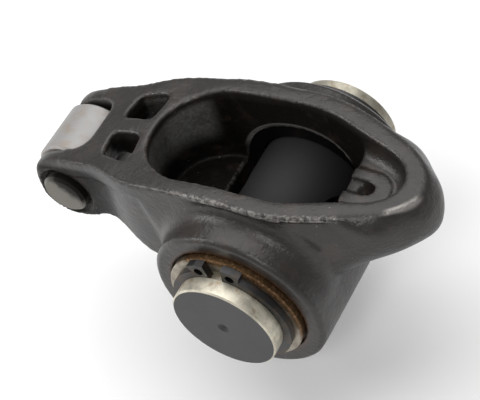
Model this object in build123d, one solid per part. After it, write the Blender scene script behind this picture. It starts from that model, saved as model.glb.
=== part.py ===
from build123d import *
from math import radians, sin, cos, hypot
import os

os.makedirs("parts", exist_ok=True)

# Roller-tip rocker arm for an overhead-valve engine, millimetres.
# Origin: centre of the trunnion. +X: towards the pushrod end. +Y: along the
# trunnion, away from the near side. +Z: out of the open top of the arm.
# Outlines of the arm are drawn about its own middle plane, SIDE_FLOAT to the
# near side of the trunnion's middle.

# ---------------------------------------------------------------- trunnion
TRUNNION_DIA = 17.6            # ground journal
TRUNNION_CHAMFER = 0.25
TRUNNION_OVERHANG = 2.67       # journal left outside a retaining ring groove
STUD_HOLE_DIA = 11.3           # clears a 7/16 inch rocker stud
NUT_SEAT_DIA = 14.6            # round flat that the adjusting nut sits on
NUT_SEAT_DEPTH = 1.5           # from the crown of the journal
CENTRE_DRILL_DIA = 2.0         # lathe centre left in each end
CENTRE_DRILL_DEPTH = 0.8

# ------------------------------------------------------------- needle bearings
RUNNING_CLEARANCE = 0.02       # radial, at each side of a needle
NEEDLE_DIA = 2.0
NEEDLE_LENGTH = 4.2
NEEDLE_COUNT = 16              # in each cage
CUP_WALL = 0.66
CUP_LIP = 0.7                  # inward flange thickness at each end of the cup
CUP_LIP_CLEARANCE = 0.35       # radial, lip to journal
CUP_RECESS = 0.8               # cup sits this far inside the hub face
CAGE_WALL = 0.9
CAGE_BAR = 0.35                # ring of cage beyond the needle pockets
CAGE_END_CLEARANCE = 0.1       # axial, cage to cup lip
NEEDLE_POCKET_CLEARANCE = 0.05

# ----------------------------------------------------------- thrust washers
WASHER_THICKNESS = 1.6
WASHER_CHAMFER = 0.2
WASHER_RIM_CLEARANCE = 0.2     # radial, inside the hub counterbore
WASHER_BORE_CLEARANCE = 0.05   # radial, on the journal
WASHER_CUP_GAP = 0.15          # axial, on the side the arm has floated to
WASHER_CLIP_GAP = 0.03         # axial, to the retaining ring

# ------------------------------------------------------------ retaining rings
CLIP_THICKNESS = 1.2
CLIP_GROOVE_DEPTH = 0.6
CLIP_GROOVE_CLEARANCE = 0.05   # round the ring in its groove
CLIP_WIDTH = 1.85              # radial, before the taper
CLIP_TAPER = 0.15              # ring is wider away from its lugs
CLIP_LUG_HEIGHT = 1.2          # lug beyond the ring
CLIP_LUG_ROOT = 0.3            # lug starts this far into the ring
CLIP_LUG_CROWN = 0.14          # rise of a lug at its middle
CLIP_LUG_ANGLE = 16.0          # width of one lug about the axis
CLIP_GAP_ANGLE = 16.0          # open gap between the two lugs
CLIP_GAP_TURN = 6.0            # gap sits this far round from straight up
CLIP_LUG_HOLE_DIA = 1.5

# ------------------------------------------------------------------ tip roller
PIVOT_REACH = 36.5             # trunnion centre to roller centre, along X
PIVOT_RISE = 2.4               # roller centre above trunnion centre
ROLLER_DIA = 14.2
ROLLER_WIDTH = 10.3
ROLLER_EDGE = 0.4
AXLE_DIA = 7.9
AXLE_PROUD = 0.8               # axle end beyond the face of the ear
AXLE_CHAMFER = 0.45
AXLE_CLEARANCE = 0.03          # radial, roller on axle

# ------------------------------------------------------------- arm: hub, walls
SIDE_FLOAT = 0.5               # arm lies this far over to the near side
HUB_WIDTH = 34.0
HUB_WALL = 3.15                # metal round the bearing cup
HUB_EDGE = 0.7                 # broken outer edge of a hub
HUB_BLEND = 3.2                # hollow blend from hub to arm wall
ARM_HALF = 12.15               # half-width of the walls beside the trunnion
RIM_LAND = 2.8                 # flat rim between well and outer wall
RIM_HEIGHT = 18.3              # rim above the trunnion centre
RIM_DROP = 3.2                 # rim is lower at the roller end of the well

# ---------------------------------------------------------------- arm: fork
EAR_HALF = 8.5                 # half-width across the fork at the roller axle
EAR_HEIGHT = 8.1               # top of an ear over the roller centre
NOSE_REACH = 6.3               # nose in front of the roller centre
EAR_UNDER = 5.5                # underside below the roller centre
ROLLER_SIDE_GAP = 0.35         # each side of the roller in its slot
ROLLER_GAP = 0.9               # round the roller
SLOT_REACH = 4.5               # slot runs on past the roller centre
SLOT_CORNER = 2.8
WEB_THICKNESS = 4.6            # plate that holds the windows
CHANNEL_HALF = 6.3             # hollow under that plate
CHANNEL_CORNER = 1.5
WINDOW_WELL_GAP = 0.9          # web between a window and the well
WINDOW_LENGTH = 6.4
WINDOW_SLANT = 0.9             # each end leans away from the rib
WINDOW_CORNER = 1.0
RIB_HALF = 1.65                # rib between the two windows
WINDOW_WIDTH = 4.7             # at the end next to the roller
WINDOW_FLARE = 1.2             # wider next to the well
PANEL_DEPTH = 0.55             # recessed panel on each side of the fork
PANEL_SHOULDER = 3.6           # metal left above the panel
PANEL_END = 17.6               # crease at the hub end of the panel
PANEL_LEAN = 1.9               # crease leans towards the hub lower down
SPOTFACE_DIA = 10.0            # round each end of the roller axle
SPOTFACE_DEPTH = 0.5

# ------------------------------------------------- arm: well, pushrod end
WELL_REACH = 20.8              # roller end of the well
WELL_TAIL = 22.0               # pushrod end of the well
WELL_FLOOR = 1.0               # floor of the well at the roller end
TAIL_TIP = 25.2                # rim at the pushrod end
TAIL_BULGE = 2.35              # wall swells past the rim
TAIL_BULGE_HEIGHT = 11.5
TAIL_UNDERSIDE = 5.0           # height where the belly turns in beside the hub
LEDGE_START = 12.6             # shallow end of the well starts here
LEDGE_DEPTH = 4.4              # below the rim
LEDGE_BLEND = 3.0              # hollow blend up to the rim
PAD_HEIGHT = 0.6               # raised pad round the oil hole
PAD_HALF = 3.3
PAD_END = 19.6
OIL_HOLE_DIA = 2.5
OIL_HOLE_X = 15.2              # on the pad
OIL_DISH_LENGTH = 4.2          # shallow dish that leads oil to the hole
OIL_DISH_WIDTH = 2.6
OIL_DISH_DEPTH = 0.8
STUD_SLOT_HALF_X = 11.6        # slot in the underside, along the arm
STUD_SLOT_HALF_Y = 6.6
CUP_SEAT_X = 20.8              # pushrod ball seat
CUP_SEAT_Z = 8.4
CUP_SEAT_DIA = 8.0             # takes a 5/16 inch pushrod ball

# -------------------------------------------------------------- derived sizes
journal_r = TRUNNION_DIA / 2
needle_r = NEEDLE_DIA / 2
needle_circle = journal_r + RUNNING_CLEARANCE + needle_r
race_r = needle_circle + needle_r + RUNNING_CLEARANCE
cup_r = race_r + CUP_WALL
hub_r = cup_r + HUB_WALL
hub_half = HUB_WIDTH / 2
cage_length = NEEDLE_LENGTH + 2 * (NEEDLE_POCKET_CLEARANCE + CAGE_BAR)
cup_outer_end = hub_half - CUP_RECESS
cage_outer_end = cup_outer_end - CUP_LIP - CAGE_END_CLEARANCE
cage_inner_end = cage_outer_end - cage_length
cup_inner_end = cage_inner_end - CAGE_END_CLEARANCE - CUP_LIP
washer_inner = cup_outer_end + SIDE_FLOAT + WASHER_CUP_GAP
washer_outer = washer_inner + WASHER_THICKNESS
clip_inner = washer_outer + WASHER_CLIP_GAP
groove_inner = clip_inner - CLIP_GROOVE_CLEARANCE
groove_outer = clip_inner + CLIP_THICKNESS + CLIP_GROOVE_CLEARANCE
groove_r = journal_r - CLIP_GROOVE_DEPTH
trunnion_half = groove_outer + TRUNNION_OVERHANG
roller_half = ROLLER_WIDTH / 2
slot_half = roller_half + ROLLER_SIDE_GAP
slot_end = -PIVOT_REACH + SLOT_REACH
well_half = ARM_HALF - RIM_LAND
web_top = RIM_HEIGHT - RIM_DROP - 2.3
web_underside = web_top - WEB_THICKNESS
ledge_floor = RIM_HEIGHT - LEDGE_DEPTH
pad_top = ledge_floor + PAD_HEIGHT
window_end = -WELL_REACH - WINDOW_WELL_GAP


def rod(radius, y0, y1, x=0.0, z=0.0):
    """Cylinder along Y between two places."""
    return Pos(x, (y0 + y1) / 2, z) * Rot(90, 0, 0) * Cylinder(radius, abs(y1 - y0))


def chamfered_rod(radius, half, edge, x=0.0, z=0.0):
    """Cylinder along Y about the middle, with both end edges broken."""
    body = rod(radius, -half, half, x, z)
    return chamfer(body.edges().filter_by(GeomType.CIRCLE), edge)


def tube(outer, inner, y0, y1):
    """Plain tube along Y, given by its radii."""
    return rod(outer, y0, y1) - rod(inner, y0 - 1, y1 + 1)


def on_side(shape, side):
    """A shape drawn on the far side, or its mirror image on the near side."""
    return shape if side > 0 else mirror(shape, Plane.XZ)


def at_roller(shape):
    return Pos(-PIVOT_REACH, 0, PIVOT_RISE) * shape


def mirrored(points):
    """Closed outline: the given +Y half, then the same points at -Y reversed."""
    return list(points) + [(x, -y) for x, y in reversed(points) if y > 0]


def flat(points, z):
    """Face inside a smooth closed curve at height z."""
    return Pos(0, 0, z) * make_face(Spline(*points, periodic=True))


def across(face, half):
    """Solid that carries a face drawn in XZ to both sides."""
    return extrude(Plane.XZ * face, half, both=True)


# ================================================================= trunnion
def make_trunnion():
    body = chamfered_rod(journal_r, trunnion_half, TRUNNION_CHAMFER)
    body -= Rot(0, 90, 0) * Cylinder(STUD_HOLE_DIA / 2, 2 * TRUNNION_DIA)
    seat = Rot(0, 90, 0) * Cylinder(NUT_SEAT_DIA / 2, TRUNNION_DIA)
    body -= Pos(-TRUNNION_DIA + NUT_SEAT_DEPTH, 0, 0) * seat
    groove = tube(TRUNNION_DIA, groove_r, groove_inner, groove_outer)
    drill = Pos(0, trunnion_half - CENTRE_DRILL_DEPTH / 2, 0) * Rot(90, 0, 0) * Cone(
        CENTRE_DRILL_DIA / 2, 0, CENTRE_DRILL_DEPTH)
    for side in (-1, 1):
        body -= on_side(groove, side)
        body -= on_side(drill, side)
    return body


# ================================================== washers, rings, bearings
def make_washer(side):
    ring = tube(cup_r - WASHER_RIM_CLEARANCE, journal_r + WASHER_BORE_CLEARANCE,
                washer_inner, washer_outer)
    rims = ring.edges().filter_by(GeomType.CIRCLE).sort_by(SortBy.RADIUS)[-2:]
    return on_side(chamfer(rims, WASHER_CHAMFER), side)


def make_clip(side):
    """External retaining ring with two drilled lugs at its gap."""
    inner = groove_r + CLIP_GROOVE_CLEARANCE
    outer = inner + CLIP_WIDTH
    lug_top = outer + CLIP_LUG_HEIGHT
    ring = Pos(0, -CLIP_TAPER) * Circle(outer) - Circle(inner)
    gap = CLIP_GAP_ANGLE / 2
    middle = gap + CLIP_LUG_ANGLE / 2

    def polar(radius, degrees):
        return radius * sin(radians(degrees)), radius * cos(radians(degrees))

    for s in (-1, 1):
        root = inner + CLIP_LUG_ROOT
        ring += make_face(Polyline(
            polar(root, s * gap), polar(lug_top, s * gap),
            polar(lug_top + CLIP_LUG_CROWN, s * middle),
            polar(lug_top, s * (gap + CLIP_LUG_ANGLE)), polar(root, s * (gap + CLIP_LUG_ANGLE)),
            close=True))
    opening = 2 * lug_top
    ring -= make_face(Polyline((0, 0), polar(opening, gap), polar(opening, -gap), close=True))
    for s in (-1, 1):
        hole_x, hole_y = polar((inner + lug_top + CLIP_LUG_ROOT) / 2, s * middle)
        ring -= Pos(hole_x, hole_y) * Circle(CLIP_LUG_HOLE_DIA / 2)
    solid = across(ring, CLIP_THICKNESS / 2)
    place = side * (clip_inner + CLIP_THICKNESS / 2)
    return Pos(0, place, 0) * Rot(0, -CLIP_GAP_TURN, 0) * solid


def make_cup(side):
    """Drawn cup: thin shell with a small inward lip at each end."""
    y0, y1 = cup_inner_end, cup_outer_end
    lip_r = journal_r + CUP_LIP_CLEARANCE
    cup = tube(cup_r, race_r, y0, y1)
    cup += tube(race_r + CUP_WALL / 2, lip_r, y0, y0 + CUP_LIP)
    cup += tube(race_r + CUP_WALL / 2, lip_r, y1 - CUP_LIP, y1)
    return Pos(0, -SIDE_FLOAT, 0) * on_side(cup, side)


def needle_place(side, index):
    turn = 360 / NEEDLE_COUNT * (index + 0.5)
    middle = side * (cage_inner_end + cage_outer_end) / 2 - SIDE_FLOAT
    return Pos(0, middle, 0) * Rot(0, turn, 0) * Pos(0, 0, needle_circle)


def make_cage(side):
    """Cage ring with one open pocket for each needle."""
    ring = tube(needle_circle + CAGE_WALL / 2, needle_circle - CAGE_WALL / 2,
                cage_inner_end, cage_outer_end)
    ring = Pos(0, -SIDE_FLOAT, 0) * on_side(ring, side)
    pocket = Box(NEEDLE_DIA + 2 * NEEDLE_POCKET_CLEARANCE,
                 NEEDLE_LENGTH + 2 * NEEDLE_POCKET_CLEARANCE, 3 * NEEDLE_DIA)
    for i in range(NEEDLE_COUNT):
        ring -= needle_place(side, i) * pocket
    return ring


def make_needle(side, index):
    return needle_place(side, index) * Rot(90, 0, 0) * Cylinder(needle_r, NEEDLE_LENGTH)


# ============================================================ roller and axle
def make_roller():
    body = chamfered_rod(ROLLER_DIA / 2, roller_half, ROLLER_EDGE)
    body -= rod(AXLE_DIA / 2 + AXLE_CLEARANCE, -ROLLER_WIDTH, ROLLER_WIDTH)
    return Pos(0, -SIDE_FLOAT, 0) * at_roller(body)


def make_axle():
    body = chamfered_rod(AXLE_DIA / 2, EAR_HALF + AXLE_PROUD, AXLE_CHAMFER)
    return Pos(0, -SIDE_FLOAT, 0) * at_roller(body)


# ================================================================ arm casting
def bridge(share):
    """Place between the end of the well (0) and the roller centre (1), along X."""
    return -WELL_REACH - share * (PIVOT_REACH - WELL_REACH)


def fork_outline(inset=0.0):
    """Half outline from the nose to beside the trunnion; inset thins the fork only."""
    nose = -PIVOT_REACH - NOSE_REACH
    k = EAR_HALF
    spread = ARM_HALF - EAR_HALF
    return [
        (nose - 1.6, 0.0), (nose - 1.3, k * 0.4), (nose - 0.6, k * 0.7), (nose + 0.1, k - 1.0),
        (nose + 1.4, k - 0.1), (nose + 3.4, k + 0.05), (-PIVOT_REACH, k),
        (bridge(0.75), k + spread * 0.08 - inset * 0.5),
        (bridge(0.5), k + spread * 0.2 - inset), (bridge(0.3), k + spread * 0.43 - inset),
        (bridge(0.1), k + spread * 0.74 - inset), (-WELL_REACH + 1.4, ARM_HALF - 0.35 - inset),
        (-WELL_REACH + 6.4, ARM_HALF - 0.05 - inset), (-8.0, ARM_HALF - inset),
        (-2.0, ARM_HALF - inset),
    ]


# Half-widths of the pushrod end as shares of ARM_HALF, at shares of the tip's reach.
TAIL_STATIONS = (0.2, 0.4, 0.55, 0.72, 0.85, 0.94)
TAIL_RIM = (0.995, 0.915, 0.80, 0.62, 0.49, 0.32)
TAIL_WIDEST = (1.0, 0.96, 0.875, 0.735, 0.53, 0.30)
TAIL_TURN = (1.0, 0.99, 0.93, 0.68, 0.46, 0.25)
TAIL_BELLY = (1.0, 0.995, 0.955, 0.68, 0.40, 0.25)
TAIL_FOOT = (1.0, 0.995, 0.95, 0.70, 0.41, 0.25)


def arm_section(z, tip, widths):
    """Closed outline of the arm at one height."""
    tail = [(tip * s, ARM_HALF * w) for s, w in zip(TAIL_STATIONS, widths)]
    return flat(mirrored(fork_outline() + tail + [(tip, 0.0)]), z)


def make_walls():
    widest = TAIL_TIP + TAIL_BULGE
    turn = TAIL_BULGE_HEIGHT - 3.5
    sections = [
        arm_section(TAIL_UNDERSIDE - 3.4, TAIL_TIP - 8.2, TAIL_FOOT),
        arm_section(TAIL_UNDERSIDE, TAIL_TIP - 3.2, TAIL_BELLY),
        arm_section(turn, TAIL_TIP + 0.4, TAIL_TURN),
        arm_section(TAIL_BULGE_HEIGHT, widest, TAIL_WIDEST),
        arm_section(RIM_HEIGHT, TAIL_TIP, TAIL_RIM),
    ]
    return loft(sections) + extrude(sections[-1], 3.0) + extrude(sections[0], -RIM_HEIGHT)


def top_curve():
    """Rim seen from the side, from over the nose to past the pushrod end."""
    px, pz = -PIVOT_REACH, PIVOT_RISE
    low = RIM_HEIGHT - RIM_DROP
    return Spline(
        (px - 4.4, pz + 5.2), (px - 1.9, pz + EAR_HEIGHT - 1.0), (px + 1.6, pz + EAR_HEIGHT + 0.5),
        (bridge(0.7), low - 3.1), (bridge(0.5), low - 2.1), (bridge(0.3), low - 1.1),
        (bridge(0.1), low - 0.5), (-WELL_REACH + 1.4, low), (-15.0, low + 1.0),
        (-10.0, RIM_HEIGHT - 1.2), (-5.0, RIM_HEIGHT - 0.5), (0.0, RIM_HEIGHT - 0.2),
        (5.0, RIM_HEIGHT), (10.0, RIM_HEIGHT + 0.1), (TAIL_TIP + 5, RIM_HEIGHT - 0.6))


def side_profile():
    """Side view of the arm without its hub, in XZ."""
    px, pz = -PIVOT_REACH, PIVOT_RISE
    top = top_curve()
    past, under = TAIL_TIP + 5, TAIL_UNDERSIDE
    tail = Polyline(top @ 1, (past, under + 4.5), (TAIL_TIP - 1, under + 2.0), (hub_r - 1.2, under - 4.2),
                    (9.0, -4.0), (-8.0, -6.0), (-14.0, -4.2))
    fork = Spline(
        (-14.0, -4.2), (-18.0, -3.6), (bridge(0.04), -2.6), (bridge(0.21), -1.0),
        (bridge(0.36), -0.3), (bridge(0.54), -0.9), (bridge(0.74), -2.3), (px + 1.1, pz - EAR_UNDER))
    nose = Spline(
        (px + 1.1, pz - EAR_UNDER), (px - 1.4, pz - EAR_UNDER - 0.1), (px - 4.4, pz - 4.0),
        (px - NOSE_REACH, pz - 0.3), (px - NOSE_REACH + 0.4, pz + 2.6), (px - 4.4, pz + 5.2))
    return make_face(top + tail + fork + nose)


def make_hub(profile):
    """Barrel round both bearings, blended hollow into the walls where they meet it."""
    e, b = HUB_EDGE, HUB_BLEND
    barrel = make_face(Polyline(
        (0, -hub_half), (hub_r - e, -hub_half), (hub_r, -hub_half + e), (hub_r, hub_half - e),
        (hub_r - e, hub_half), (0, hub_half), close=True))
    wall = ARM_HALF - 0.3
    curve = RadiusArc((hub_r, wall + b), (hub_r + b, wall), -b)
    skirt = make_face(curve + Polyline(curve @ 1, (hub_r + b, -wall)) + mirror(
        curve, Plane.XZ) + Polyline((hub_r, -wall - b), (hub_r, wall + b)))
    room = make_face(Polyline(
        (-2 * hub_r, -hub_r), (hub_r - 3, -hub_r), (hub_r, TAIL_UNDERSIDE),
        (hub_r - 2.7, RIM_HEIGHT), (-2 * hub_r, RIM_HEIGHT), close=True))
    blend = revolve(skirt, Axis.Y) & across(profile, HUB_WIDTH) & across(room, HUB_WIDTH)
    return revolve(barrel, Axis.Y) + blend


def well_outline(inset=0.0):
    """Inner edge of the rim."""
    w = well_half - inset
    a, b = -WELL_REACH + inset, WELL_TAIL - inset
    return mirrored([
        (a, 0.0), (a + 0.3, w * 0.28), (a + 1.6, w * 0.56), (a + 4.4, w * 0.82), (-13.0, w - 0.25),
        (-9.0, w), (-3.0, w), (3.0, w), (6.5, w * 0.957), (10.0, w * 0.835), (14.0, w * 0.675),
        (b - 4.0, w * 0.525), (b - 1.6, w * 0.365), (b - 0.3, w * 0.17), (b, 0.0)])


def make_well():
    """Deep beside the trunnion, shallow with a rounded floor over the pushrod end."""
    deep = extrude(flat(well_outline(), WELL_FLOOR), RIM_HEIGHT)
    deep &= Pos(LEDGE_START - PIVOT_REACH, 0, 0) * Box(2 * PIVOT_REACH, 4 * ARM_HALF, 4 * RIM_HEIGHT)
    b = LEDGE_BLEND
    steps = [(b, 0.0), (0.4 * b, 0.22 * b), (0.1 * b, 0.55 * b), (0.0, 1.1 * b)]
    faces = [flat(well_outline(inset), ledge_floor + rise) for inset, rise in steps]
    shallow = loft(faces) + extrude(faces[-1], RIM_HEIGHT)
    pad = Pos(PAD_END - PAD_HALF, 0, 0) * Cylinder(PAD_HALF, 2 * PAD_HEIGHT)
    pad += Pos((PAD_END - PAD_HALF) / 2, 0, 0) * Box(PAD_END - PAD_HALF, 2 * PAD_HALF, 2 * PAD_HEIGHT)
    return deep + (shallow - Pos(0, 0, ledge_floor) * pad)


def make_window():
    """Window through the web on the +Y side of the rib."""
    far = window_end - WINDOW_LENGTH
    outer = RIB_HALF + WINDOW_WIDTH
    face = make_face(Polyline(
        (far, RIB_HALF), (far + WINDOW_SLANT, outer), (window_end, outer + WINDOW_FLARE),
        (window_end - WINDOW_SLANT, RIB_HALF), close=True))
    return extrude(Pos(0, 0, web_underside - 1) * fillet(face.vertices(), WINDOW_CORNER), RIM_HEIGHT)


def make_panel(profile):
    """What is taken off the +Y side of the fork to leave the recessed panel."""
    low = -2 * EAR_UNDER
    shade = Pos(0, 0, -PANEL_SHOULDER) * across(profile, 2 * ARM_HALF)
    limit = make_face(Polyline(
        (-PIVOT_REACH, low), (-PIVOT_REACH, RIM_HEIGHT), (-PANEL_END - 1.5, RIM_HEIGHT),
        (-PANEL_END + 2.2 * PANEL_LEAN, low), close=True))
    kept = extrude(flat(mirrored(fork_outline(PANEL_DEPTH) + [(TAIL_TIP, 0.0)]), low), 3 * RIM_HEIGHT)
    half = Pos(0, 2 * ARM_HALF, 0) * Box(8 * ARM_HALF, 4 * ARM_HALF, 8 * ARM_HALF)
    return (shade & across(limit, 2 * ARM_HALF) & half) - kept


def make_roller_slot():
    box = Pos(slot_end - PIVOT_REACH, 0, 0) * Box(2 * PIVOT_REACH, 2 * slot_half, 4 * RIM_HEIGHT)
    slot = fillet(box.edges().filter_by(Axis.Z).sort_by(Axis.X)[-2:], SLOT_CORNER)
    return slot + at_roller(rod(ROLLER_DIA / 2 + ROLLER_GAP, -slot_half, slot_half))


def make_channel():
    """Hollow under the windows, open to the roller slot and the underside."""
    end = window_end + WINDOW_WELL_GAP / 2
    length = end - slot_end + SLOT_REACH
    box = Pos(end - length / 2, 0, web_underside / 2 - EAR_UNDER) * Box(
        length, 2 * CHANNEL_HALF, web_underside + 2 * EAR_UNDER)
    return fillet(box.edges().filter_by(Axis.Z), CHANNEL_CORNER)


def make_oilway():
    """Pushrod seat, open downwards, with a leaning oil hole up to a dish on the pad."""
    seat = Pos(CUP_SEAT_X, 0, CUP_SEAT_Z) * Sphere(CUP_SEAT_DIA / 2)
    seat += Pos(CUP_SEAT_X, 0, 0) * Cylinder(CUP_SEAT_DIA / 2, 2 * CUP_SEAT_Z)
    dx, dz = OIL_HOLE_X - CUP_SEAT_X, pad_top - CUP_SEAT_Z
    reach = hypot(dx, dz)
    lean = Plane(origin=(CUP_SEAT_X, 0, CUP_SEAT_Z), z_dir=(dx / reach, 0, dz / reach))
    hole = extrude(lean * Circle(OIL_HOLE_DIA / 2), reach + OIL_HOLE_DIA)
    dish = extrude(Pos(OIL_HOLE_X - OIL_HOLE_DIA / 2, 0, pad_top) * SlotOverall(
        OIL_DISH_LENGTH, OIL_DISH_WIDTH), OIL_DISH_DEPTH, both=True)
    return seat + hole + dish


def make_rocker_body():
    profile = side_profile()
    body = (make_walls() & across(profile, 2 * HUB_WIDTH)) + make_hub(profile)
    body -= rod(cup_r, -HUB_WIDTH, HUB_WIDTH)
    body -= make_well()
    body -= Pos(0, 0, -RIM_HEIGHT) * extrude(
        SlotOverall(2 * STUD_SLOT_HALF_X, 2 * STUD_SLOT_HALF_Y), RIM_HEIGHT)
    body -= make_roller_slot()
    body -= make_channel()
    body -= at_roller(rod(AXLE_DIA / 2, -2 * EAR_HALF, 2 * EAR_HALF))
    body -= make_oilway()
    spot = at_roller(rod(SPOTFACE_DIA / 2, EAR_HALF - SPOTFACE_DEPTH, 2 * EAR_HALF))
    for side in (-1, 1):
        body -= on_side(make_window(), side)
        body -= on_side(make_panel(profile), side)
        body -= on_side(spot, side)
    return Pos(0, -SIDE_FLOAT, 0) * body


if __name__ == "__main__":
    nodes = {}
    nodes["rocker_body"] = make_rocker_body()
    nodes["trunnion"] = make_trunnion()
    nodes["tip_roller"] = make_roller()
    nodes["tip_axle"] = make_axle()
    for name, side in (("near", -1), ("far", 1)):
        nodes["bearing_cup_" + name] = make_cup(side)
        nodes["bearing_cage_" + name] = make_cage(side)
        nodes["thrust_washer_" + name] = make_washer(side)
        nodes["retaining_ring_" + name] = make_clip(side)
        for i in range(NEEDLE_COUNT):
            nodes["needle_%s_%02d" % (name, i + 1)] = make_needle(side, i)
    for name, shape in nodes.items():
        print(name, len(shape.solids()), round(shape.volume, 1), shape.is_valid)
        export_step(shape, "parts/%s.step" % name)
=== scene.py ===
from math import cos, floor, radians, sin

import bmesh
import bpy
from bpy.props import FloatProperty, FloatVectorProperty, PointerProperty
from mathutils import Matrix, Vector


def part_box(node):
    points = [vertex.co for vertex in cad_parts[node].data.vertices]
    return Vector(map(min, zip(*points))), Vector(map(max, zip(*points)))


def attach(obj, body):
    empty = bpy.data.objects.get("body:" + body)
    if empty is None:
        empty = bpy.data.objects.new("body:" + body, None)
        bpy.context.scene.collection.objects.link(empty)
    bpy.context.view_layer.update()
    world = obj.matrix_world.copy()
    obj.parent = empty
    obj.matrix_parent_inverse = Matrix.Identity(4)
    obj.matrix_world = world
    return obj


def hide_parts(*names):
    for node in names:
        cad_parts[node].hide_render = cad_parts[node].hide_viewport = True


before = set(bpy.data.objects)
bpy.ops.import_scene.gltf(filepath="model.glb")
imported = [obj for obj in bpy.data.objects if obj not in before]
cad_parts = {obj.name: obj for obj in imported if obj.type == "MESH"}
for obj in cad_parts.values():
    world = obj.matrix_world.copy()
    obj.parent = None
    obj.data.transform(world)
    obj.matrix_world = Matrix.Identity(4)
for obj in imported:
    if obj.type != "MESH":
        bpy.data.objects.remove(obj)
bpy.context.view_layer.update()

bl_info = {
    "name": "Roller rocker arm",
    "version": (1, 0, 0),
    "blender": (4, 5, 0),
    "location": "3D View > Sidebar > Rocker Arm",
    "description": "Finishes and lights a roller-tip rocker arm with its trunnion and bearings",
    "category": "Object",
}

MM = 0.001
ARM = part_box("rocker_body")
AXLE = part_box("tip_axle")
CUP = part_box("bearing_cup_near")

# In metres
FLOOR = -ARM[1][0] - 0.2 * MM            # clears the pushrod end as the arm swings
FLOOR_GAP = 0.02 * MM
FLOOR_HALF = 3.0
ARM_MIDDLE = (ARM[0][1] + ARM[1][1]) / 2
TRUNNION_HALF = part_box("trunnion")[1][1]

# In millimetres
SKIN_STEP = 0.342                        # spacing of the points in the casting's skin
LIP_DEPTH = 1.1                          # height of the raised band round the rim
LIP_PROUD = 0.25
RING_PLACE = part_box("retaining_ring_far")[0][1] / MM
HUB_BORE = (CUP[1][0] - CUP[0][0]) / 2 / MM
INNER_HALF = 9.35                        # inner faces of the well's walls
SEAT_PLACE = 20.8                        # pushrod seat along the arm
RIM_TOP = 18.3
WASHER_RUST = 10.8                       # radius where rust begins on a washer
JOURNAL_EDGE = 0.8                       # ground band starts this far inside a ring
AXLE_PLACE = ((AXLE[0][0] + AXLE[1][0]) / 2 / MM, (AXLE[0][2] + AXLE[1][2]) / 2 / MM)

SIDES = ("near", "far")
MIX_UNDER, MIX_OVER, MIX_RESULT = 6, 7, 2   # colour sockets of a Mix node
NEEDLES = sorted(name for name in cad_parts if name.startswith("needle_"))


# ------------------------------------------------------------------ settings
class StageSettings(bpy.types.PropertyGroup):
    azimuth: FloatProperty(name="Azimuth", description="Turn of the camera round the arm",
                           default=radians(40.402), subtype="ANGLE")
    elevation: FloatProperty(name="Elevation", description="Height of the camera above level",
                             default=radians(49.596), subtype="ANGLE")
    roll: FloatProperty(name="Roll", description="Turn of the camera about its own axis",
                        default=radians(-16.532), subtype="ANGLE")
    position: FloatVectorProperty(name="Position", description="Where the camera stands",
                                  default=(0.09257, -0.11890, 0.18439), subtype="XYZ", unit="LENGTH")
    lens: FloatProperty(name="Lens", description="Focal length on a 36 mm sensor",
                        default=112.5, min=20.0)
    floor: FloatVectorProperty(name="Floor", description="Colour of the floor",
                               default=(0.93, 0.93, 0.93), subtype="COLOR")
    surround: FloatProperty(name="Surround", description="Light from all round", default=0.38, min=0.0)
    key: FloatProperty(name="Key", description="Power of the large light overhead", default=3.8, min=0.0)
    side: FloatProperty(name="Side", description="Power of the side light", default=0.9, min=0.0)
    front: FloatProperty(name="Front", description="Power of the light on the near side", default=0.55,
                         min=0.0)


class CastingSettings(bpy.types.PropertyGroup):
    colour: FloatVectorProperty(name="Black finish", description="Colour of the blackened casting",
                                default=(0.0155, 0.0132, 0.0117), subtype="COLOR")
    # Colour of metal where the finish has rubbed off, also used for the painted highlights on the tail's lip
    # and the bore's edge
    wear_and_highlight: FloatVectorProperty(name="Worn metal", description="Colour where the finish has rubbed off",
                              default=(0.38, 0.36, 0.34), subtype="COLOR")
    rust: FloatVectorProperty(name="Rust", description="Colour of the rust round the washers",
                              default=(0.050, 0.022, 0.010), subtype="COLOR")
    roughness: FloatProperty(name="Roughness", description="Roughness of the finish",
                             default=0.32, min=0.0, max=1.0)
    grain: FloatProperty(name="Grain", description="Depth of the cast texture in millimetres",
                         default=0.10, min=0.0)


class SteelSettings(bpy.types.PropertyGroup):
    roller: FloatVectorProperty(name="Roller", description="Colour of the ground roller",
                                default=(0.35, 0.342, 0.335), subtype="COLOR")
    axle: FloatVectorProperty(name="Axle", description="Colour of the pressed axle",
                              default=(0.155, 0.148, 0.128), subtype="COLOR")
    trunnion: FloatVectorProperty(name="Trunnion", description="Colour of the hardened trunnion",
                                  default=(0.030, 0.030, 0.0305), subtype="COLOR")
    journal: FloatVectorProperty(name="Journal", description="Colour of the ground journal",
                                 default=(0.66, 0.62, 0.51), subtype="COLOR")
    washer: FloatVectorProperty(name="Washer", description="Colour of the thrust washers",
                                default=(0.22, 0.195, 0.155), subtype="COLOR")
    ring: FloatVectorProperty(name="Ring", description="Colour of the retaining rings",
                              default=(0.060, 0.060, 0.062), subtype="COLOR")
    far_turn: FloatProperty(name="Far ring", description="Turn of the far retaining ring in its groove",
                            default=radians(140.0), subtype="ANGLE")
    copper: FloatVectorProperty(name="Copper", description="Colour of the brightest rust",
                                default=(0.24, 0.135, 0.075), subtype="COLOR")
    oil: FloatVectorProperty(name="Oil", description="Colour of dried oil on the steel",
                             default=(0.30, 0.17, 0.07), subtype="COLOR")


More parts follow.
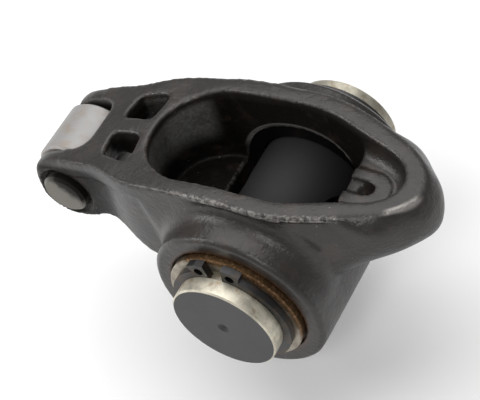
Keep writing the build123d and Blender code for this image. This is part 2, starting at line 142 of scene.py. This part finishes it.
# ----------------------------------------------------------------- materials
class Finish:
    """A Principled material whose patterns are measured in millimetres."""

    def __init__(self, name, metallic, roughness):
        self.material = bpy.data.materials.new(name)
        self.material.use_nodes = True
        self.tree = self.material.node_tree
        self.tree.nodes.clear()
        self.shader = self.node("ShaderNodeBsdfPrincipled")
        self.shader.inputs["Metallic"].default_value = metallic
        self.shader.inputs["Roughness"].default_value = roughness
        self.output = self.node("ShaderNodeOutputMaterial")
        self.tree.links.new(self.shader.outputs["BSDF"], self.output.inputs["Surface"])
        mapping = self.node("ShaderNodeMapping")
        mapping.inputs["Scale"].default_value = (1 / MM, 1 / MM, 1 / MM)
        place = self.node("ShaderNodeTexCoord")
        self.tree.links.new(place.outputs["Object"], mapping.inputs["Vector"])
        self.mm = mapping.outputs["Vector"]

    def node(self, kind, **settings):
        made = self.tree.nodes.new(kind)
        for key, value in settings.items():
            setattr(made, key, value)
        return made

    def feed(self, socket, value):
        """Links an output to a socket, or sets the socket to a plain value."""
        if isinstance(value, bpy.types.NodeSocket):
            self.tree.links.new(value, socket)
        else:
            socket.default_value = value

    def math(self, operation, *values):
        made = self.node("ShaderNodeMath", operation=operation)
        for socket, value in zip(made.inputs, values):
            self.feed(socket, value)
        return made.outputs[0]

    def both(self, first, *others):
        """Product of masks: 1 where all of them are 1."""
        for other in others:
            first = self.math("MULTIPLY", first, other)
        return first

    def noise(self, size, detail=3.0, roughness=0.55):
        made = self.node("ShaderNodeTexNoise")
        self.feed(made.inputs["Vector"], self.mm)
        made.inputs["Scale"].default_value = 1 / size
        made.inputs["Detail"].default_value = detail
        made.inputs["Roughness"].default_value = roughness
        return made.outputs["Fac"]

    def lines(self, along, density):
        """Fine lines across the given distance."""
        made = self.node("ShaderNodeTexNoise", noise_dimensions="1D")
        self.feed(made.inputs["W"], along)
        made.inputs["Scale"].default_value = density
        made.inputs["Detail"].default_value = 3.0
        return made.outputs["Fac"]

    def step(self, value, low, high):
        """0 below low, 1 above high, smooth between; falls where low is above high."""
        made = self.node("ShaderNodeMapRange", interpolation_type="SMOOTHSTEP")
        self.feed(made.inputs["Value"], value)
        start, end = (0.0, 1.0) if low < high else (1.0, 0.0)
        made.inputs["From Min"].default_value = min(low, high)
        made.inputs["From Max"].default_value = max(low, high)
        made.inputs["To Min"].default_value = start
        made.inputs["To Max"].default_value = end
        return made.outputs["Result"]

    def band(self, value, middle, far, near):
        """1 within near of the middle value, 0 beyond far."""
        return self.step(self.math("ABSOLUTE", self.math("SUBTRACT", value, middle)), far, near)

    def scale(self, value, low, high):
        """Spreads 0 to 1 over the given range."""
        made = self.node("ShaderNodeMapRange")
        self.feed(made.inputs["Value"], value)
        made.inputs["To Min"].default_value = low
        made.inputs["To Max"].default_value = high
        return made.outputs["Result"]

    def blend(self, factor, under, over):
        made = self.node("ShaderNodeMix", data_type="RGBA")
        self.feed(made.inputs["Factor"], factor)
        for place, colour in ((MIX_UNDER, under), (MIX_OVER, over)):
            linked = isinstance(colour, bpy.types.NodeSocket)
            self.feed(made.inputs[place], colour if linked else rgba(colour))
        return made.outputs[MIX_RESULT]

    def axes(self):
        made = self.node("ShaderNodeSeparateXYZ")
        self.feed(made.inputs["Vector"], self.mm)
        return made.outputs

    def radius(self, x=0.0, z=0.0):
        """Distance from a line along Y."""
        parts = self.axes()
        across = self.math("SUBTRACT", parts["X"], x)
        up = self.math("SUBTRACT", parts["Z"], z)
        return self.math("SQRT", self.math("ADD", self.math("POWER", across, 2.0),
                                           self.math("POWER", up, 2.0)))

    def toward(self, axis):
        """Part of the surface direction along an axis."""
        surface = self.node("ShaderNodeNewGeometry")
        own = self.node("ShaderNodeVectorTransform", vector_type="NORMAL",
                        convert_from="WORLD", convert_to="OBJECT")
        self.feed(own.inputs["Vector"], surface.outputs["Normal"])
        made = self.node("ShaderNodeSeparateXYZ")
        self.feed(made.inputs["Vector"], own.outputs["Vector"])
        return made.outputs[axis]

    def facing(self):
        """Sideways part of the surface direction, 1 on a face square to Y."""
        return self.math("ABSOLUTE", self.toward("Y"))

    def proud(self):
        """Over 0.5 where the surface stands out, under it where it folds in."""
        return self.node("ShaderNodeNewGeometry").outputs["Pointiness"]

    def sunk(self):
        """1 under the rim inside the well and the windows, 0 on the rim and outside."""
        parts = self.axes()
        across = self.math("ABSOLUTE", self.math("SUBTRACT", parts["Y"], ARM_MIDDLE / MM))
        inside = self.step(across, INNER_HALF + 0.9, INNER_HALF - 0.3)
        back = self.math("MAXIMUM", self.math("MULTIPLY", parts["X"], -1.0), 0.0)
        fork = self.math("MAXIMUM", self.math("SUBTRACT", back, 19.4), 0.0)
        fall = self.math("ADD", self.math("MULTIPLY", back, 0.165), self.math("MULTIPLY", fork, 0.105))
        depth = self.math("SUBTRACT", self.math("SUBTRACT", RIM_TOP, fall), parts["Z"])
        return self.math("MULTIPLY", inside, self.step(depth, 0.7, 2.2))

    def bump(self, height, depth):
        made = self.node("ShaderNodeBump")
        made.inputs["Strength"].default_value = 1.0
        made.inputs["Distance"].default_value = depth * MM
        self.feed(made.inputs["Height"], height)
        return made.outputs["Normal"]

    def clear_from_behind(self):
        """Lets a view from behind the surface pass through it."""
        clear = self.node("ShaderNodeBsdfTransparent")
        surface = self.node("ShaderNodeNewGeometry")
        choice = self.node("ShaderNodeMixShader")
        self.feed(choice.inputs[0], surface.outputs["Backfacing"])
        self.feed(choice.inputs[1], self.shader.outputs["BSDF"])
        self.feed(choice.inputs[2], clear.outputs["BSDF"])
        self.feed(self.output.inputs["Surface"], choice.outputs["Shader"])

    def finish(self, colour=None, roughness=None, metallic=None, normal=None):
        for name, value in (("Base Color", colour), ("Roughness", roughness),
                            ("Metallic", metallic), ("Normal", normal)):
            if value is not None:
                self.feed(self.shader.inputs[name], value)
        return self.material


def rgba(colour):
    return (colour[0], colour[1], colour[2], 1.0)


def tint(colour, factor):
    return tuple(min(1.0, part * factor) for part in colour)


def cast_black(name, settings):
    """Blackened investment casting, rubbed bright on its proud edges, with painted shade in the well and on
    the underside, a painted light patch at the roller end of the well, and painted highlights on the tail's
    lip and the bore's inner edge.
    """
    f = Finish(name, 0.0, settings.roughness)
    parts = f.axes()
    along, up = parts["X"], parts["Z"]
    across = f.math("SUBTRACT", parts["Y"], ARM_MIDDLE / MM)
    patches = f.noise(7.0, 3.0)
    mottle = f.noise(1.1, 4.0, 0.65)
    grain = f.noise(0.5, 3.0, 0.6)
    base = f.blend(f.step(patches, 0.35, 0.7), tint(settings.colour, 0.7), tint(settings.colour, 1.3))

    # Painted shade: the hollows of the well darkened and made less shiny, and less shine painted on the
    # underside
    sunk = f.sunk()
    dark = f.both(sunk, f.step(along, 16.0, 11.0))
    under = f.step(f.toward("Z"), 0.25, -0.35)
    f.feed(f.shader.inputs["Specular IOR Level"],
           f.both(f.scale(dark, 0.5, 0.07), f.scale(under, 1.0, 0.35)))
    base = f.blend(f.both(dark, 0.9), base, tint(settings.colour, 0.1))

    # Painted light: a mottled light patch on the roller end of the well; brown patches and a fine mottle all
    # over
    end = f.both(f.step(along, -14.0, -17.0), f.step(along, -21.4, -20.4), f.step(up, 4.0, 9.0))
    painted_light_patch = f.both(sunk, end, f.scale(f.noise(0.6, 4.0, 0.6), 0.1, 1.0))
    base = f.blend(f.both(painted_light_patch, 0.7), base, (0.40, 0.39, 0.38))
    brown = f.both(f.step(f.noise(4.2, 4.0, 0.6), 0.5, 0.68), 0.4)
    base = f.blend(brown, base, (0.050, 0.034, 0.026))
    base = f.blend(f.scale(mottle, 0.0, 0.45), base, tint(settings.colour, 1.5))

    # Rust round the mouths of the hub bore
    mouth = f.both(f.band(f.radius(), HUB_BORE, 1.1, 0.3), f.step(f.math("ABSOLUTE", parts["Y"]), 15.0, 16.4))
    base = f.blend(f.both(mouth, f.step(mottle, 0.3, 0.6)), base, settings.rust)

    # Bright metal rubbed through on the proud edges, the near rim most, and in specks; painted highlights on
    # the tail's lip and the inner edge of the bore
    proud = f.step(f.proud(), 0.512, 0.53)
    breaks = f.step(f.noise(0.7, 5.0, 0.75), 0.4, 0.6)
    rim = f.step(f.math("ABSOLUTE", across), 12.8, 12.3)
    high = f.both(f.step(across, -2.0, -4.0), f.step(f.toward("Y"), -0.1, -0.3), f.step(up, 16.4, 17.2))
    lip = f.both(f.step(f.proud(), 0.506, 0.516), f.step(up, 17.0, 17.5))
    # Painted highlight: a bright streak along the near edge of the tail's lip
    tail = f.both(lip, f.step(across, -0.5, -2.5), f.step(along, 21.0, 22.5),
                  f.step(f.toward("Y"), 0.1, -0.1))
    rubbed = f.math("ADD", f.scale(high, 0.06, 0.42), f.scale(f.noise(9.0, 2.0), -0.2, 0.3))
    wear_and_highlight = f.both(proud, breaks, rubbed, rim)
    # Painted highlight: a bright arc round the inner edge of the bore in the well
    bore = f.both(f.band(f.radius(), HUB_BORE, 1.0, 0.5),
                  f.band(f.math("ABSOLUTE", across), INNER_HALF, 1.1, 0.6), f.step(up, 3.0, 8.0))
    wear_and_highlight = f.math("MAXIMUM", wear_and_highlight, bore)
    wear_and_highlight = f.math("MAXIMUM", wear_and_highlight, f.both(tail, f.scale(mottle, 0.3, 1.0)))
    specks = f.both(f.step(f.noise(0.42, 2.0, 0.5), 0.74, 0.775), 0.5)
    bare_and_highlight = f.math("MAXIMUM", wear_and_highlight, specks)

    roughness = f.scale(mottle, settings.roughness - 0.07, settings.roughness + 0.1)
    height = f.math("ADD", f.both(grain, 0.6), mottle)
    return f.finish(f.blend(bare_and_highlight, base, settings.wear_and_highlight), roughness, f.both(bare_and_highlight, 0.9),
                    f.bump(height, settings.grain))


def ground_steel(name, colour, oil, centre, roughness, darkening, depth=0.004, metallic=1.0):
    """Ground or turned steel with fine lines round the given centre and a little dried oil."""
    f = Finish(name, metallic, roughness)
    lay = f.lines(f.math("ADD", f.axes()["Y"], f.radius(*centre)), 7.0)
    cloud = f.noise(2.2, 4.0, 0.6)
    fine = f.noise(0.35, 4.0, 0.7)
    base = f.blend(lay, tint(colour, 0.9), tint(colour, 1.08))
    base = f.blend(f.both(f.step(cloud, 0.45, 0.75), darkening), base, oil)
    base = f.blend(f.both(f.step(fine, 0.62, 0.75), darkening), base, tint(oil, 0.6))
    rough = f.scale(cloud, roughness - 0.06, roughness + 0.12)
    return f.finish(base, rough, None, f.bump(lay, depth))


def washer_steel(name, settings):
    """Ground washer with rust creeping in from its rim on one side."""
    f = Finish(name, 0.85, 0.38)
    parts = f.axes()
    cloud = f.noise(1.8, 4.0, 0.65)
    fine = f.noise(0.4, 4.0, 0.7)
    side = f.math("ADD", f.both(parts["X"], 0.045), f.both(parts["Z"], 0.075))
    creep = f.math("ADD", f.both(side, 1.9), f.scale(cloud, -0.6, 0.6))
    rim = f.math("ADD", creep, f.math("SUBTRACT", f.radius(), WASHER_RUST))
    rust = f.step(rim, 0.55, 1.3)
    base = f.blend(f.step(cloud, 0.4, 0.65), tint(settings.washer, 1.5), settings.washer)
    base = f.blend(rust, base, tint(settings.oil, 0.3))
    base = f.blend(f.both(f.step(fine, 0.5, 0.62), rust), base, settings.copper)
    rough = f.math("ADD", f.scale(fine, 0.3, 0.45), f.both(rust, 0.12))
    return f.finish(base, rough, None, f.bump(fine, 0.02))


def axle_steel(name, settings):
    """Turned axle, its end darker and duller, with a ragged edge, on the upper side towards the hub."""
    f = Finish(name, 1.0, 0.45)
    parts = f.axes()
    cloud = f.noise(2.4, 4.0, 0.6)
    ragged = f.noise(1.3, 5.0, 0.7)
    fine = f.noise(0.3, 4.0, 0.7)
    along = f.math("SUBTRACT", parts["X"], AXLE_PLACE[0])
    up = f.math("SUBTRACT", parts["Z"], AXLE_PLACE[1])
    side = f.math("ADD", f.both(along, 0.62), f.both(up, 0.78))
    side = f.math("ADD", side, f.scale(ragged, -1.3, 1.3))
    # The end turns darker, less shiny and less metallic past a ragged line
    darkening = f.step(side, 0.2, 2.6)
    base = f.blend(cloud, tint(settings.axle, 0.8), tint(settings.axle, 1.15))
    base = f.blend(f.both(f.step(fine, 0.55, 0.7), 0.4), base, tint(settings.oil, 0.5))
    base = f.blend(darkening, base, (0.008, 0.007, 0.006))
    f.feed(f.shader.inputs["Specular IOR Level"], f.scale(darkening, 0.5, 0.1))
    rough = f.math("ADD", f.scale(cloud, 0.38, 0.5), f.both(darkening, 0.15))
    metal = f.math("SUBTRACT", 1.0, f.both(darkening, 0.9))
    return f.finish(base, rough, metal, f.bump(f.math("ADD", fine, ragged), 0.01))


def trunnion_steel(name, settings):
    """Ground journal outside the rings, dark hardened steel inside and on the ends; the far journal darker in
    cloudy patches.
    """
    f = Finish(name, 0.0, 0.5)
    along = f.math("ABSOLUTE", f.axes()["Y"])
    half = TRUNNION_HALF / MM
    end = f.both(f.step(f.facing(), 0.75, 0.95), f.step(along, half - 1.0, half - 0.4))
    end = f.math("MAXIMUM", end, f.step(f.radius(), 3.0, 2.0))
    ground = f.both(f.step(along, RING_PLACE - JOURNAL_EDGE, RING_PLACE + 0.2),
                    f.math("SUBTRACT", 1.0, end))
    cloud = f.noise(2.6, 4.0, 0.6)
    fine = f.noise(0.35, 4.0, 0.7)
    lay = f.lines(f.math("ADD", f.radius(), along), 5.0)
    bright = f.blend(f.step(cloud, 0.42, 0.62), settings.journal, tint(settings.journal, 0.72))
    bright = f.blend(f.both(f.step(f.noise(1.6, 5.0, 0.65), 0.52, 0.66), 0.5), bright, settings.oil)
    # The far journal darker in cloudy patches
    far_darker = f.both(f.step(f.axes()["Y"], 0.0, 5.0), f.scale(cloud, 0.3, 0.8))
    bright = f.blend(far_darker, bright, tint(settings.journal, 0.3))
    dark = f.blend(f.scale(fine, 0.0, 0.6), tint(settings.trunnion, 0.85), tint(settings.trunnion, 1.25))
    base = f.blend(ground, dark, bright)
    inner = f.step(along, RING_PLACE - JOURNAL_EDGE, RING_PLACE - 2 * JOURNAL_EDGE)
    base = f.blend(inner, base, tint(settings.trunnion, 0.6))
    f.feed(f.shader.inputs["Specular IOR Level"], f.scale(inner, 0.5, 0.2))
    rough = f.math("ADD", f.both(ground, -0.1), f.scale(cloud, 0.5, 0.6))
    return f.finish(base, rough, f.both(ground, 0.85), f.bump(lay, 0.004))


# -------------------------------------------------------------------- pieces
def node_copy(node):
    """The node's shape as a bmesh with its loose triangles joined."""
    bm = bmesh.new()
    bm.from_mesh(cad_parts[node].data)
    bmesh.ops.remove_doubles(bm, verts=bm.verts, dist=0.002 * MM)
    return bm


def add_piece(name, bm, body, material, node=None, smooth=True):
    mesh = bpy.data.meshes.new(name)
    bm.to_mesh(mesh)
    bm.free()
    mesh.shade_smooth() if smooth else mesh.shade_flat()
    piece = bpy.data.objects.new(name, mesh)
    bpy.context.scene.collection.objects.link(piece)
    piece.data.materials.append(material)
    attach(piece, body)
    if node:
        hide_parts(node)
    return piece


def remeshed(bm, voxel):
    """The same shape as an even skin with its sharp edges eased."""
    mesh = bpy.data.meshes.new("blank")
    bm.to_mesh(mesh)
    bm.free()
    blank = bpy.data.objects.new("blank", mesh)
    bpy.context.scene.collection.objects.link(blank)
    skin = blank.modifiers.new("skin", "REMESH")
    skin.mode = "VOXEL"
    skin.voxel_size = voxel * MM
    soft = blank.modifiers.new("soft", "SMOOTH")
    soft.factor = 0.5
    soft.iterations = 4
    graph = bpy.context.evaluated_depsgraph_get()
    result = bmesh.new()
    result.from_object(blank, graph)
    bpy.data.objects.remove(blank)
    return result


def soften(bm, where, rounds):
    """Smooths the points that the test picks."""
    points = [vert for vert in bm.verts if where(vert.co)]
    for _ in range(rounds):
        bmesh.ops.smooth_vert(bm, verts=points, factor=0.5, use_axis_x=True, use_axis_y=True,
                              use_axis_z=True)


def keep_inside(bm, box):
    """Pulls points that smoothing has pushed out back to the CAD node's box."""
    for vert in bm.verts:
        for axis in range(3):
            vert.co[axis] = min(max(vert.co[axis], box[0][axis]), box[1][axis])


def rim_heights(bm):
    """Height of the casting's top in each millimetre of its length."""
    tops = {}
    for vert in bm.verts:
        place = floor(vert.co.x / MM)
        tops[place] = max(tops.get(place, -100.0), vert.co.z / MM)
    return tops


def assign(node, material):
    """Gives a CAD node its material."""
    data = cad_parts[node].data
    data.materials.clear()
    data.materials.append(material)


class ROCKER_OT_stage(bpy.types.Operator):
    """Make the floor, the lights and the camera"""
    bl_idname = "rocker.stage"
    bl_label = "Stage"

    def execute(self, context):
        s = context.scene.rocker_stage
        scene = context.scene
        bm = bmesh.new()
        bmesh.ops.create_grid(bm, x_segments=1, y_segments=1, size=FLOOR_HALF)
        bmesh.ops.translate(bm, verts=bm.verts, vec=(0, 0, FLOOR - FLOOR_GAP))
        mesh = bpy.data.meshes.new("floor")
        bm.to_mesh(mesh)
        bm.free()
        floor = bpy.data.objects.new("floor", mesh)
        scene.collection.objects.link(floor)
        paper = Finish("paper", 0.0, 0.9)
        cloud = paper.noise(60.0, 2.0)
        shade = paper.blend(paper.scale(cloud, 0.0, 0.3), s.floor, tint(s.floor, 1.05))
        floor.data.materials.append(paper.finish(shade))
        paper.clear_from_behind()

        world = bpy.data.worlds.new("surround")
        world.use_nodes = True
        sky = world.node_tree.nodes["Background"]
        sky.inputs["Color"].default_value = (1.0, 1.0, 1.0, 1.0)
        sky.inputs["Strength"].default_value = s.surround
        scene.world = world

        self.add_light("key", (-0.14, 0.16, 0.60), (0.75, 0.75), s.key)
        self.add_light("side", (-0.40, -0.25, 0.26), (0.12, 0.26), s.side)
        self.add_light("front", (0.12, -0.31, 0.40), (0.10, 0.10), s.front)
        scene.view_settings.view_transform = "Standard"

        data = bpy.data.cameras.new("camera")
        data.lens = s.lens
        data.sensor_width = 36.0
        data.clip_start, data.clip_end = 0.01, 10.0
        camera = bpy.data.objects.new("camera", data)
        scene.collection.objects.link(camera)
        a, e = s.azimuth, s.elevation
        back = Vector((sin(a) * cos(e), -cos(a) * cos(e), sin(e)))
        level = Vector((cos(a), sin(a), 0))
        rise = back.cross(level)
        right = level * cos(s.roll) + rise * sin(s.roll)
        up = rise * cos(s.roll) - level * sin(s.roll)
        turn = Matrix((right, up, back)).transposed().to_4x4()
        camera.matrix_world = Matrix.Translation(Vector(s.position)) @ turn
        scene.camera = camera
        return {"FINISHED"}

    def add_light(self, name, place, size, power):
        data = bpy.data.lights.new(name, "AREA")
        data.shape = "RECTANGLE"
        data.size, data.size_y = size
        data.energy = power
        light = bpy.data.objects.new(name, data)
        bpy.context.scene.collection.objects.link(light)
        light.location = place
        light.rotation_mode = "QUATERNION"
        light.rotation_quaternion = Vector(place).to_track_quat("Z", "Y")


class ROCKER_OT_casting(bpy.types.Operator):
    """Make the arm casting with softened cast edges"""
    bl_idname = "rocker.casting"
    bl_label = "Arm casting"

    def execute(self, context):
        s = context.scene.rocker_casting
        bm = remeshed(node_copy("rocker_body"), SKIN_STEP)
        if not bm.verts:
            raise RuntimeError("the arm casting came out empty")
        self.rims = rim_heights(bm)
        soften(bm, self.on_top, 7)
        soften(bm, self.at_nose, 20)
        self.raise_lip(bm)
        soften(bm, self.by_hub, 24)
        soften(bm, self.on_fork_side, 8)
        soften(bm, self.at_seat, 14)
        keep_inside(bm, ARM)
        black = cast_black("cast_black", s)
        add_piece("arm_casting", bm, "arm", black, "rocker_body")
        return {"FINISHED"}

    def below_rim(self, co):
        """Millimetres from the casting's top down to a point."""
        return self.rims.get(floor(co.x / MM), 0.0) - co.z / MM

    def raise_lip(self, bm):
        """Leaves a shallow step in the outer wall a little below the rim."""
        bm.normal_update()
        for vert in bm.verts:
            x = vert.co.x / MM
            across = (vert.co.y - ARM_MIDDLE) / MM
            outward = vert.normal.y * (1 if across > 0 else -1)
            if x < -15.0 or max(outward, vert.normal.x) < 0.55 or abs(across) < 3.0 and x < 20:
                continue
            if self.below_rim(vert.co) < LIP_DEPTH:
                flat = Vector((vert.normal.x, vert.normal.y, 0.0)).normalized()
                fade = min(1.0, (x + 15.0) / 6.0, max(0.0, (17.0 - x) / 4.0))
                vert.co += flat * LIP_PROUD * MM * fade

    def on_top(self, co):
        """The edges of the rim, of the bridge and of its windows."""
        return self.below_rim(co) < 1.6

    def at_nose(self, co):
        """The front of the ears outside the spotface."""
        x, z = co.x / MM - AXLE_PLACE[0], co.z / MM - AXLE_PLACE[1]
        return x < 1.0 and x * x + z * z > 5.6 ** 2

    def at_seat(self, co):
        """The mouth of the pushrod seat."""
        out = Vector((co.x / MM - SEAT_PLACE, (co.y - ARM_MIDDLE) / MM)).length
        return 3.0 < out < 5.4 and co.z / MM < 11.5

    def by_hub(self, co):
        """Where a hub's blend runs out into the arm's wall and round its barrel."""
        across = abs(co.y - ARM_MIDDLE) / MM
        out = Vector((co.x, 0, co.z)).length / MM
        return 11.6 < across < 16.2 and 14.0 < out < 19.5 and -9 < co.z / MM < 16.6

    def on_fork_side(self, co):
        """The side of the fork between its ear and the hub."""
        across = abs(co.y - ARM_MIDDLE) / MM
        return -31 < co.x / MM < -15 and across > 7.6 and self.below_rim(co) > 2.0


class ROCKER_OT_trunnion(bpy.types.Operator):
    """Finish the trunnion, its washers and its retaining rings"""
    bl_idname = "rocker.trunnion"
    bl_label = "Trunnion group"

    def execute(self, context):
        s = context.scene.rocker_steel
        assign("trunnion", trunnion_steel("trunnion_steel", s))
        washer = washer_steel("washer_steel", s)
        ring = ground_steel("ring_steel", s.ring, s.oil, (0, 0), 0.4, 0.25)
        for side in SIDES:
            assign("thrust_washer_" + side, washer)
            assign("retaining_ring_" + side, ring)
        bm = node_copy("retaining_ring_far")
        if not bm.verts:
            raise RuntimeError("the far retaining ring came out empty")
        bmesh.ops.rotate(bm, verts=bm.verts, cent=(0, 0, 0), matrix=Matrix.Rotation(s.far_turn, 3, "Y"))
        add_piece("far_ring", bm, "trunnion_group", ring, "retaining_ring_far", smooth=False)
        return {"FINISHED"}


class ROCKER_OT_tip(bpy.types.Operator):
    """Finish the roller and its axle"""
    bl_idname = "rocker.tip"
    bl_label = "Roller and axle"

    def execute(self, context):
        s = context.scene.rocker_steel
        roller = ground_steel("roller_steel", s.roller, s.oil, AXLE_PLACE, 0.55, 0.3, 0.008, metallic=0.6)
        assign("tip_roller", roller)
        assign("tip_axle", axle_steel("axle_steel", s))
        return {"FINISHED"}


class ROCKER_OT_bearings(bpy.types.Operator):
    """Finish the bearing cups, cages and needles"""
    bl_idname = "rocker.bearings"
    bl_label = "Bearings"

    def execute(self, context):
        s = context.scene.rocker_steel
        cup = ground_steel("cup_steel", tint(s.ring, 0.5), s.oil, (0, 0), 0.4, 0.1)
        cage = ground_steel("cage_steel", tint(s.washer, 0.5), s.oil, (0, 0), 0.4, 0.3)
        needle = ground_steel("needle_steel", s.roller, s.oil, (0, 0), 0.22, 0.1)
        for side in SIDES:
            assign("bearing_cup_" + side, cup)
            assign("bearing_cage_" + side, cage)
        for name in NEEDLES:
            assign(name, needle)
        return {"FINISHED"}


class ROCKER_PT_panel(bpy.types.Panel):
    """Lists the pieces of the rocker arm"""
    bl_idname = "ROCKER_PT_panel"
    bl_label = "Rocker Arm"
    bl_space_type = "VIEW_3D"
    bl_region_type = "UI"
    bl_category = "Rocker Arm"

    def draw(self, context):
        for operator in OPERATORS:
            self.layout.operator(operator.bl_idname)


SETTINGS = {"rocker_stage": StageSettings, "rocker_casting": CastingSettings,
            "rocker_steel": SteelSettings}
OPERATORS = (ROCKER_OT_stage, ROCKER_OT_casting, ROCKER_OT_trunnion, ROCKER_OT_tip,
             ROCKER_OT_bearings)


def register():
    for name, group in SETTINGS.items():
        bpy.utils.register_class(group)
        setattr(bpy.types.Scene, name, PointerProperty(type=group))
    for operator in OPERATORS:
        bpy.utils.register_class(operator)
    bpy.utils.register_class(ROCKER_PT_panel)


def unregister():
    bpy.utils.unregister_class(ROCKER_PT_panel)
    for operator in reversed(OPERATORS):
        bpy.utils.unregister_class(operator)
    for name, group in SETTINGS.items():
        delattr(bpy.types.Scene, name)
        bpy.utils.unregister_class(group)


def main():
    register()
    bpy.ops.rocker.stage()
    bpy.ops.rocker.casting()
    bpy.ops.rocker.trunnion()
    bpy.ops.rocker.tip()
    bpy.ops.rocker.bearings()


if __name__ == "__main__":
    main()
